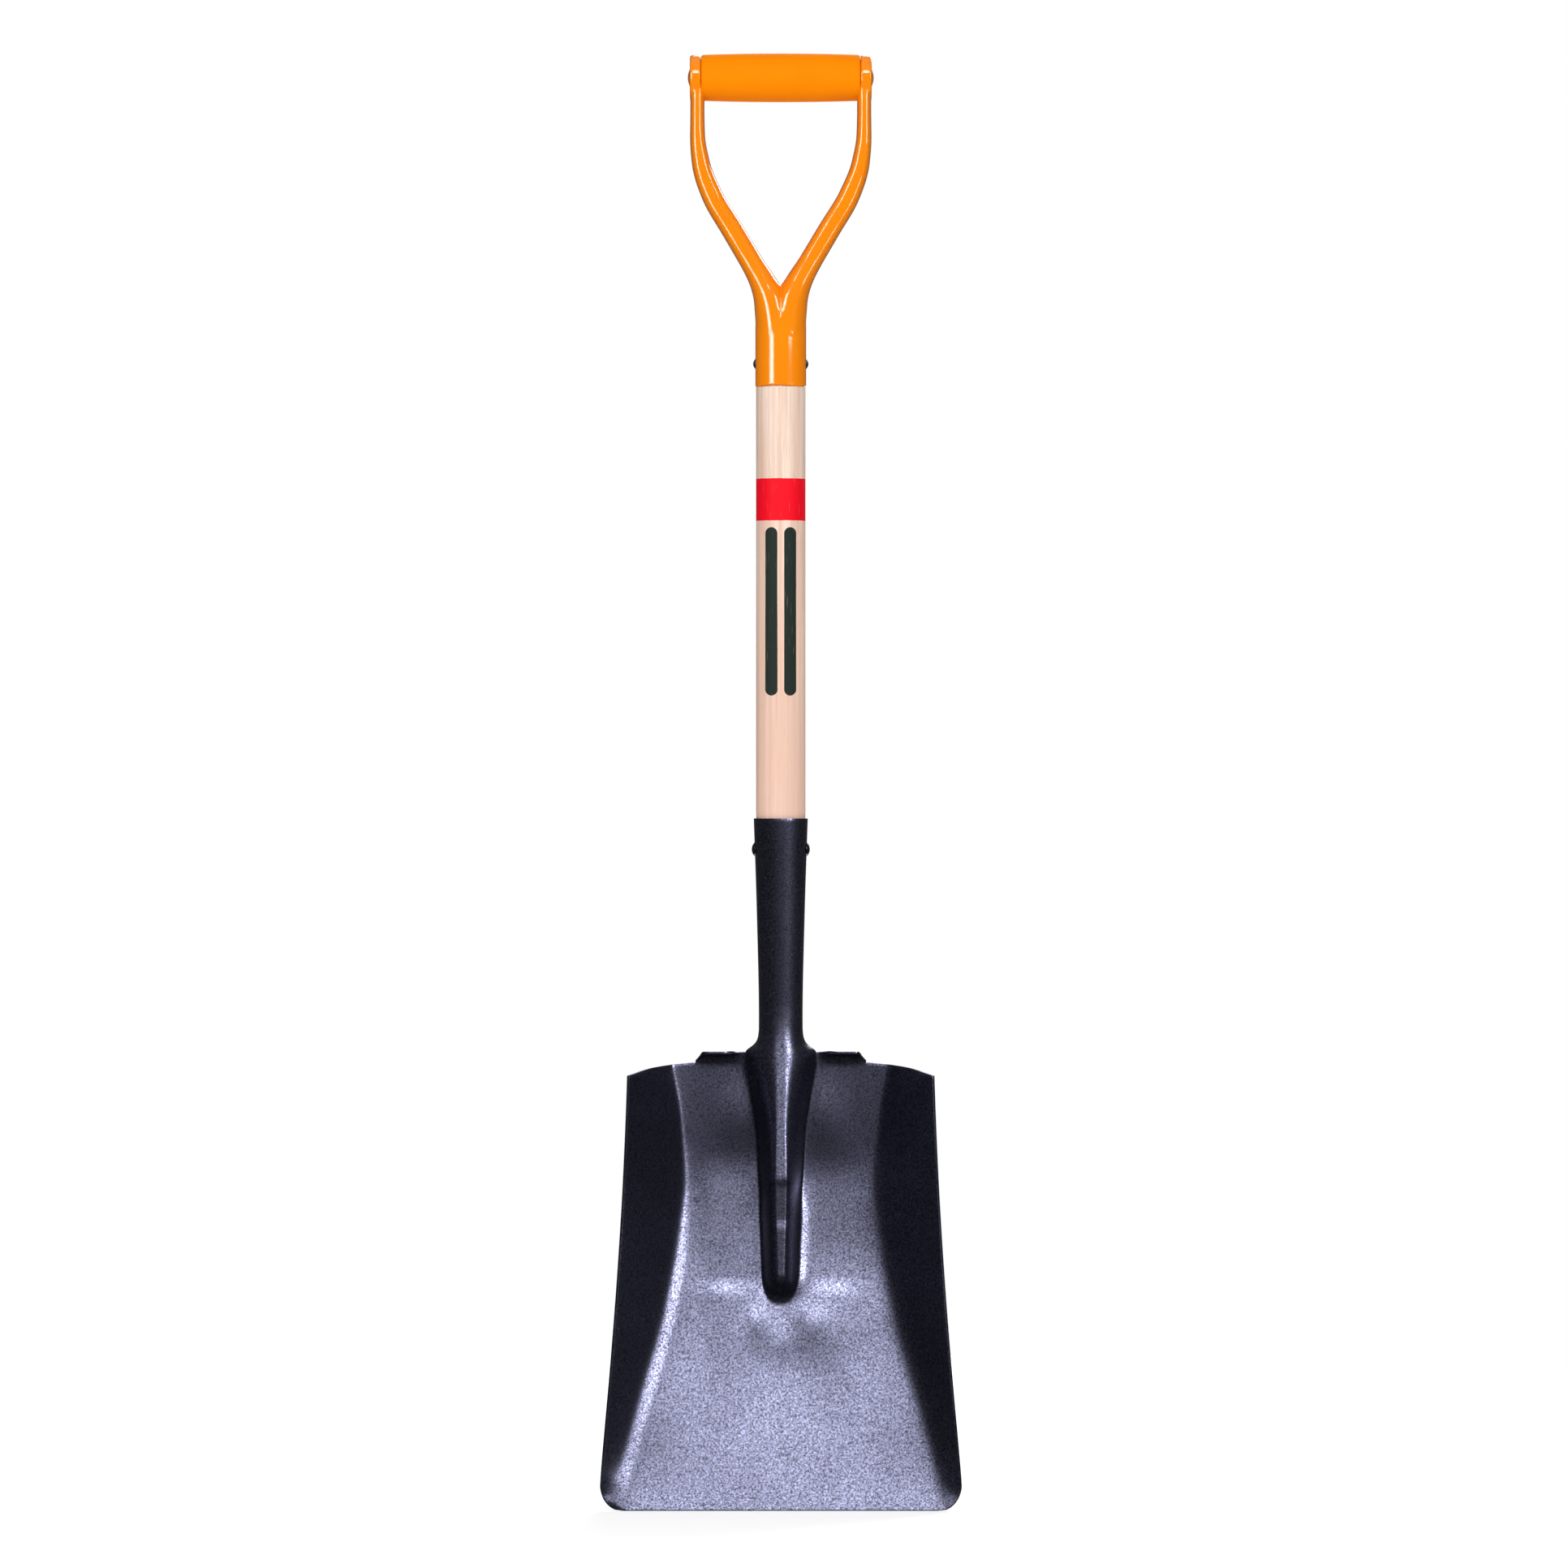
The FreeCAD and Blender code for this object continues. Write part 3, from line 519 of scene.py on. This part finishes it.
def frog_rise(x, z):
    """How far the frog and the sloped apron of metal beside its foot stand before the floor."""
    foot = interpolate(FROG_FOOT, z)
    flat = interpolate(FROG_CREST, z)
    tip = fade_in(z, FROG_TIP, FROG_TIP + FROG_TIP_LENGTH)
    crest = (floor_y(z) - crest_y(z)) * tip
    ridge = crest * (1 - (max(0, abs(x) - flat) / (foot - flat)) ** interpolate(FROG_FULLNESS, z))
    apron_slope = 0.26 * fade_in(x, 0, 4) - 0.20 * fade_in(x, 0, -4)
    apron = soft(foot + 6.5 - abs(x), 3.0) * tip * fade_in(z, 224, 194) * apron_slope
    return smooth_max(ridge, apron, 2.6 * tip + 0.01)


def bend_lag(x, z):
    """How much lower the floor bends: a little on the right, and more beside the left crease."""
    right = 5 * fade_in(x, 0, 30) * fade_in(z, 120, 180)
    left = 12 * fade_in(x, -44, -64) * fade_in(z, 135, 220)
    return right + left


def front_y(x, z):
    """Depth of the sheet's front face, up to where the foot steps start to turn."""
    dish = DISH * min(abs(x), interpolate(CREASE, z)) ** 2 * fade_in(z, 10, 90)
    return floor_y(z + bend_lag(x, z)) - wall_rise(x, z) - dish - press_marks(x, z) - frog_rise(x, z)


def core_point(share, z):
    """Share runs from 0 at the frog's crest and the socket's front to 1 or -1 at the foot and the side."""
    pan = between(fade_in(z, SHOULDER_TOP, LIP_START), interpolate(SHOULDER, z), share**2)
    held = min(z, LIP_START)
    pan_x = interpolate(CORE_EDGE, held) * share
    pan_y = front_y(pan_x, held) + (crest_y(z) - crest_y(held)) * (1 - abs(share))
    radius = interpolate(SOCKET_RADIUS, z)
    angle = share * math.pi / 2
    tube_y = (-radius + crest_y(max(z, LIP_START)) + NECK_FRONT) * math.cos(angle)
    return (between(radius * math.sin(angle), pan_x, pan), between(tube_y, pan_y, pan), z)


def flat_top(x):
    """Height of the sheet's flat part: level under the foot steps, then up to the heel's edge."""
    if x > STEP_FOOT:
        return interpolate(HEEL_EDGE, x)
    return between(LIP_START, HEEL_EDGE[0][1], max(0.0, x - STEP_END) / (STEP_FOOT - STEP_END))


def wing_point(side, column, height):
    """Column runs from the frog's foot to the blade's side, height from the mouth to the flat part's top."""
    top = flat_top(between(interpolate(CORE_EDGE, LIP_START), HEEL_EDGE[-1][0], column))
    z = top * height
    x = side * between(interpolate(CORE_EDGE, z), edge_half_width(z), column)
    return (x, front_y(x, z), z)


def lip_point(side, column, turn):
    """Turn runs from 0 at the flat part's top to 1 at the foot step's free edge."""
    x, y, z = wing_point(side, column, 1.0)
    cut = min(1.0, max(0.0, (STEP_FOOT - abs(x)) / (STEP_FOOT - STEP_END)))
    angle = math.asin(cut)
    arc = LIP_RADIUS * angle
    flat = LIP_FLAT * fade_in(abs(x), STEP_END + 1, STEP_END - 3)
    travel = turn * (arc + flat)
    bent = min(travel, arc) / LIP_RADIUS
    roll_y = -LIP_RADIUS * (1 - math.cos(bent)) - max(0.0, travel - arc)
    roll = (0.0, roll_y, LIP_RADIUS * math.sin(bent))
    foot = core_point(side, LIP_START)
    upright = core_point(side, between(LIP_START, LIP_FREE, turn))
    share = fade_in(abs(x), abs(foot[0]), abs(foot[0]) + LIP_ROOT)
    return tuple(p + between(u - f, r, share) for p, f, u, r in zip((x, y, z), foot, upright, roll))


def wrap_point(side, share, z):
    """The rolled back of the socket: share runs from its side, or past it on the point below, to the seam."""
    radius = interpolate(SOCKET_RADIUS, z)
    first = math.pi / 2 + WRAP_TURN * fade_in(z, SHOULDER_TOP, SHOULDER_TOP - WRAP_POINT)
    angle = between(first, math.pi - SEAM_HALF_WIDTH / radius, share)
    return (side * radius * math.sin(angle), -radius * math.cos(angle), z)


def steps(count):
    return [i / count for i in range(count + 1)]


def evenly(low, high, count):
    return [between(low, high, share) for share in steps(count)]


def blade():
    """One skin for the pan, the frog, the foot steps and the rolled socket, then its thickness."""
    sheet = Sheet()
    corner_rows = [round(0.004 * i, 4) for i in range(16)]
    pan_rows = [round(height, 5) for height in evenly(0.06, 1.0, 118)]
    heights = sorted({*corner_rows, *pan_rows})
    socket_rows = evenly(SHOULDER_TOP, SOCKET_TOP, 56)
    core_rows = [LIP_START * height for height in heights] + evenly(LIP_START, LIP_FREE, 8)[1:]
    core_rows += evenly(LIP_FREE, SHOULDER_TOP, 14)[1:] + socket_rows[1:]
    sheet.patch([[core_point(share, z) for share in evenly(-1, 1, 56)] for z in core_rows])
    columns = steps(60)
    lip_columns = [c for c in columns if wing_point(1, c, 1.0)[0] < STEP_FOOT]
    wrap_rows = evenly(SHOULDER_TOP - WRAP_POINT, SHOULDER_TOP, 10)[:-1] + socket_rows
    for side in (1, -1):
        sheet.patch([[wing_point(side, c, height) for c in columns] for height in heights], flip=side < 0)
        sheet.patch([[lip_point(side, c, turn) for c in lip_columns] for turn in steps(8)], flip=side < 0)
        sheet.patch([[wrap_point(side, share, z) for share in steps(18)] for z in wrap_rows], flip=side < 0)
    data = sheet.mesh("blade_sheet")
    item = new_piece("blade_sheet", data, "blade_enamel", "blade")
    modifier(item, "SOLIDIFY", "thickness", thickness=SHEET_THICKNESS * MM, offset=-1.0, use_even_offset=True)
    modifier(item, "BEVEL", "worn_edges", width=WORN_EDGE * MM, segments=2, limit_method="ANGLE",
             angle_limit=math.radians(55))
    baked(item)
    # The worn edges may not stand past the solid blade.
    for vertex in item.data.vertices:
        vertex.co = [min(high, max(low, value)) for low, high, value in zip(*cad_box, vertex.co)]


# ------------------------------------------------------------------ grip yoke
# One arm, from the socket to the cup, in millimetres: height, distance from the shaft's axis, half-width
# across the arm, half-depth and squareness of its section (2 is an ellipse).
ARM = [
    (782, 0.8, 15.0, 15.0, 2.0),
    (798, 3.3, 13.6, 16.9, 2.0),
    (815, 6.4, 11.9, 16.7, 2.1),
    (829, 12.0, 9.1, 15.4, 2.4),
    (844, 20.4, 7.7, 14.4, 2.8),
    (866, 33.4, 7.5, 13.6, 3.0),
    (888, 46.4, 7.2, 13.4, 3.0),
    (910, 54.2, 6.2, 13.4, 3.0),
    (930, 56.6, 5.1, 13.6, 3.0),
    (948, 56.7, 4.8, 13.7, 3.0),
    (964, 56.7, 4.8, 13.2, 3.0),
]
# Height and radius of the closed tube round the shaft's top.
SOCKET_DOME = [(758.5, 17.3), (799, 17.3), (804, 17.1), (810, 16.0), (816, 13.4), (822, 9.0), (827, 3.0)]
BORE_START = 757
BORE_TOP = 803.4
BORE_RADIUS = 15.95
# The cross grip between its two cups. Its end's round shoulder is given as inset and radius.
GRIP_HEIGHT = 968.6
GRIP_HALF = 54.0
GRIP_CROWN = 16.48
GRIP_TAPER = 0.95
GRIP_FULLNESS = 2.2
GRIP_END = [(0.0, 14.6), (0.25, 15.1), (0.9, 15.45)]
SPIGOT_RADIUS = 12.4
SPIGOT_LENGTH = 5.0
SPIGOT_GAP = 0.1
CUP_INNER = 54.3
CUP_OUTER = 61.8
CUP_RADIUS = 15.4
CUP_ROUND = 1.4
CUP_BEVEL = 0.5
CUP_END_RADIUS = 8.0
# Size of the cells in which the yoke's solids become one skin.
VOXEL = 0.75


def ring(centre, first, second, reach_a, reach_b, squareness=2.0, count=40):
    """A closed superellipse round a centre, spanned by two directions."""
    points = []
    for i in range(count):
        angle = 2 * math.pi * i / count
        cosine, sine = math.cos(angle), math.sin(angle)
        along_first = math.copysign(abs(cosine) ** (2 / squareness), cosine)
        along_second = math.copysign(abs(sine) ** (2 / squareness), sine)
        points.append(centre + first * (along_first * reach_a) + second * (along_second * reach_b))
    return points


def loft(bm, rings):
    """A closed tube through rings of points in millimetres, with flat ends."""
    rows = [[bm.verts.new(point * MM) for point in points] for points in rings]
    for first, second in zip(rows, rows[1:]):
        for i in range(len(first)):
            j = (i + 1) % len(first)
            bm.faces.new((first[i], first[j], second[j], second[i]))
    bm.faces.new(rows[0][::-1])
    bm.faces.new(rows[-1])


def turned(bm, profile, centre, axis, count=64):
    """A closed turned solid from (place along the axis, radius) pairs."""
    axis = Vector(axis)
    first = axis.orthogonal().normalized()
    second = axis.cross(first)
    centre = Vector(centre)
    loft(bm, [ring(centre + axis * along, first, second, radius, radius, count=count)
              for along, radius in profile])


def arm_rings(side):
    """Sections of one arm, each square to the arm's middle line."""
    distance, *section = ([(row[0], row[i]) for row in ARM] for i in range(1, 5))
    rings = []
    for z in evenly(ARM[0][0], ARM[-1][0], 72):
        lean = interpolate(distance, z + 0.5) - interpolate(distance, z - 0.5)
        across = Vector((1, 0, -lean)).normalized()
        across.x *= side
        centre = Vector((side * interpolate(distance, z), 0, z))
        sizes = [interpolate(table, z) for table in section]
        rings.append(ring(centre, across, Vector((0, side, 0)), *sizes))
    return rings


def finished(bm, name):
    """A smooth mesh in the frame's own place."""
    bmesh.ops.recalc_face_normals(bm, faces=bm.faces)
    bmesh.ops.translate(bm, verts=bm.verts, vec=(0, AXIS_Y, 0))
    data = bpy.data.meshes.new(name)
    bm.to_mesh(data)
    bm.free()
    for face in data.polygons:
        face.use_smooth = True
    return data


def baked(item):
    """Replaces an object's modifiers by their result."""
    data = bpy.data.meshes.new_from_object(item.evaluated_get(bpy.context.evaluated_depsgraph_get()))
    item.modifiers.clear()
    item.data = data


def cup_profile():
    """A cup turned about the cross grip's axis, with a round outer edge."""
    rounded = [(CUP_OUTER + CUP_ROUND * (math.sin(angle) - 1), CUP_RADIUS + CUP_ROUND * (math.cos(angle) - 1))
               for angle in evenly(0, math.pi / 2, 8)]
    mouth = [(CUP_INNER, CUP_RADIUS - CUP_BEVEL), (CUP_INNER + CUP_BEVEL, CUP_RADIUS)]
    return [*mouth, *rounded[:-1], (CUP_OUTER, CUP_END_RADIUS)]


def cutter(name, solids):
    """One object made of turned solids, for taking away from another."""
    bm = bmesh.new()
    for profile, centre, axis in solids:
        turned(bm, profile, centre, axis)
    item = bpy.data.objects.new(name, finished(bm, name))
    bpy.context.scene.collection.objects.link(item)
    return item


def seam_depth(x, y, z):
    """Depth of the line down the yoke's front, which is wider where the two arms part."""
    line = 0.4 * math.exp(-((x / 0.8) ** 2))
    parting = 0.5 * math.exp(-((x / 1.2) ** 2)) * fade_in(z, 812, 818)
    return (line + parting) * fade_in(y, -8, -12) * fade_in(z, 827, 824)


def rim_wave(x, y, z):
    """The socket's lower rim is cut a little unevenly."""
    return 0.35 * math.sin(3 * math.atan2(y, x) + 0.8) * fade_in(z, 762, 759)


def grip_yoke():
    """Two arms, two cups and the socket under one pressed skin, bored for the shaft and the cross grip."""
    bm = bmesh.new()
    for side in (1, -1):
        loft(bm, arm_rings(side))
        turned(bm, cup_profile(), (0, 0, GRIP_HEIGHT), (side, 0, 0))
    turned(bm, SOCKET_DOME, (0, 0, 0), (0, 0, 1))
    item = bpy.data.objects.new("grip_yoke_sheet", finished(bm, "grip_yoke_sheet"))
    bpy.context.scene.collection.objects.link(item)
    modifier(item, "REMESH", "one_skin", mode="VOXEL", voxel_size=VOXEL * MM, use_smooth_shade=True)
    modifier(item, "SMOOTH", "pressed", factor=0.5, iterations=6)
    baked(item)
    for vertex in item.data.vertices:
        x, y, z = vertex.co.x / MM, (vertex.co.y - AXIS_Y) / MM, vertex.co.z / MM
        vertex.co.y += seam_depth(x, y, z) * MM
        vertex.co.z += rim_wave(x, y, z) * MM
    socket = [(BORE_START, BORE_RADIUS), (BORE_TOP, BORE_RADIUS)]
    spigot = [(CUP_INNER - 1, SPIGOT_RADIUS + SPIGOT_GAP),
              (CUP_INNER + SPIGOT_LENGTH, SPIGOT_RADIUS + SPIGOT_GAP)]
    grip_middle = (0, 0, GRIP_HEIGHT)
    holes = [(socket, (0, 0, 0), (0, 0, 1))]
    holes += [(spigot, grip_middle, (side, 0, 0)) for side in (1, -1)]
    bore = cutter("bore", holes)
    modifier(item, "BOOLEAN", "bores", object=bore, operation="DIFFERENCE", solver="EXACT")
    baked(item)
    bpy.data.objects.remove(bore)
    item.data.materials.clear()
    item.data.materials.append(materials["orange_enamel"])
    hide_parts("grip_yoke")
    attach(item, BODY)


def cross_grip():
    """A crowned barrel with a crisp shoulder and a spigot at each end."""
    end = [(-GRIP_HALF - SPIGOT_LENGTH, SPIGOT_RADIUS), (-GRIP_HALF, SPIGOT_RADIUS)]
    end += [(-GRIP_HALF + inset, radius) for inset, radius in GRIP_END]
    crown = [(GRIP_HALF * share, GRIP_CROWN - GRIP_TAPER * abs(share) ** GRIP_FULLNESS)
             for share in evenly(-1, 1, 48)[1:-1]]
    barrel = [*end, *crown, *((-x, radius) for x, radius in reversed(end))]
    bm = bmesh.new()
    turned(bm, barrel, (0, 0, GRIP_HEIGHT), (1, 0, 0), 96)
    data = finished(bm, "cross_grip_barrel")
    item = new_piece("cross_grip_barrel", data, "orange_lacquer", "cross_grip")
    modifier(item, "EDGE_SPLIT", "crisp_shoulders", split_angle=math.radians(50))


blade()
grip_yoke()
cross_grip()


# ------------------------------------------------------------------ studio
# Lens and sensor in millimetres, and the width and middle of what the camera sees at the tool, in metres.
LENS = 200.0
SENSOR = 36.0
VIEW_WIDTH = 1.0626
VIEW_MIDDLE = Vector((0.0022, 0.05, 0.4884))
FLOOR_RADIUS = 1.6


def softbox(name, place_at, aim_at, width, height, power, glossy_only=False):
    """A rectangular light in metres and watts that isn't seen itself, or is seen in reflections only."""
    light = bpy.data.lights.new(name, "AREA")
    light.shape = "RECTANGLE"
    light.size, light.size_y = width, height
    light.energy = power
    item = bpy.data.objects.new(name, light)
    item.location = place_at
    item.rotation_euler = (Vector(aim_at) - Vector(place_at)).to_track_quat("-Z", "Y").to_euler()
    bpy.context.scene.collection.objects.link(item)
    item.visible_camera = False
    item.visible_diffuse = not glossy_only
    return item


def lit_only(name, receivers, lights):
    """Lets some lights shine on some pieces only."""
    group = bpy.data.collections.new(name)
    for receiver in receivers:
        group.objects.link(bpy.data.objects[receiver])
    for light in lights:
        light.light_linking.receiver_collection = group


def studio_world():
    """White behind the object, and a dim grey dome that is brightest overhead for everything else."""
    world = bpy.data.worlds.new("studio")
    world.use_nodes = True
    tree = world.node_tree
    background = tree.nodes["Background"]
    direction = tree.nodes.new("ShaderNodeTexCoord").outputs["Generated"]
    up = node(tree, "ShaderNodeSeparateXYZ", {"Vector": direction}).outputs["Z"]
    around = ramp(tree, up, (0.0, 0.08), (0.25, 0.09), (0.6, 0.2), (1.0, 0.5))
    path = tree.nodes.new("ShaderNodeLightPath")
    seen = blend(tree, path.outputs["Is Camera Ray"], around, (1, 1, 1))
    tree.links.new(seen, background.inputs["Color"])
    background.inputs["Strength"].default_value = 1.0
    bpy.context.scene.world = world


def floor():
    bpy.ops.mesh.primitive_circle_add(vertices=96, radius=FLOOR_RADIUS, fill_type="NGON", location=(0, 0, 0))
    item = bpy.context.object
    item.name = "studio_floor"
    material, tree, shader = new_material("pale_floor", Roughness=0.9)
    tint = noise(tree, place(tree), 3.0)
    tree.links.new(ramp(tree, tint, (0.0, 0.93), (1.0, 0.95)), shader.inputs["Base Color"])
    shader.inputs["Emission Color"].default_value = (1, 1, 1, 1)
    shader.inputs["Emission Strength"].default_value = 0.5
    item.data.materials.append(material)
    item.visible_glossy = False


def studio_camera():
    """A long lens square to the blade, level with the middle of the tool."""
    camera = bpy.data.cameras.new("camera")
    camera.lens = LENS
    camera.sensor_width = SENSOR
    camera.clip_end = 60
    item = bpy.data.objects.new("camera", camera)
    item.location = VIEW_MIDDLE - Vector((0, VIEW_WIDTH * LENS / SENSOR, 0))
    item.rotation_euler = (math.radians(90), 0, 0)
    bpy.context.scene.collection.objects.link(item)
    bpy.context.scene.camera = item


studio_world()
floor()
studio_camera()
softbox("key", (0.15, -2.55, 2.30), (0, 0, 0.1), 1.5, 0.85, 40)
lit_only("lit_by_blade_lights", ("blade_sheet",), (
    softbox("blade_key", (0.15, -2.56, 2.32), (0, 0, 0.1), 1.5, 0.85, 8),
    softbox("blade_glow", (0.25, -2.85, 1.35), (0, 0, 0.25), 2.9, 0.55, 11.5, glossy_only=True),
    softbox("blade_top", (0.10, -2.10, 2.80), (0, 0, 0.13), 1.5, 0.55, 85, glossy_only=True),
    softbox("crease_light", (1.84, -2.22, 1.66), (-0.1, 0, 0.10), 0.8, 0.60, 100, glossy_only=True),
))
lit_only("lit_by_handle_lights", ("grip_yoke_sheet", "cross_grip_barrel", "shaft"), (
    softbox("handle_key", (0.15, -2.56, 2.32), (0, 0, 0.1), 1.5, 0.85, 20),
    softbox("left_fill", (-2.0, -2.2, 1.5), (0, 0, 0.85), 0.22, 1.8, 20),
    softbox("right_fill", (2.1, -2.0, 1.6), (0, 0, 0.85), 0.16, 1.2, 10),
))
lit_only("lit_by_cards", ("grip_yoke_sheet",), (
    softbox("left_card", (-2.0, -2.2, 1.15), (0, 0, 1.15), 1.2, 2.5, 120, glossy_only=True),
    softbox("right_card", (2.1, -2.0, 1.55), (0, 0, 1.55), 0.9, 1.22, 44, glossy_only=True),
    softbox("right_low_card", (2.1, -2.0, 0.20), (0, 0, 0.20), 0.9, 0.5, 15, glossy_only=True),
))
softbox("back", (0.9, 2.6, 2.3), (0, 0, 0.4), 2.0, 1.4, 60)
bpy.context.scene.view_settings.view_transform = "Standard"
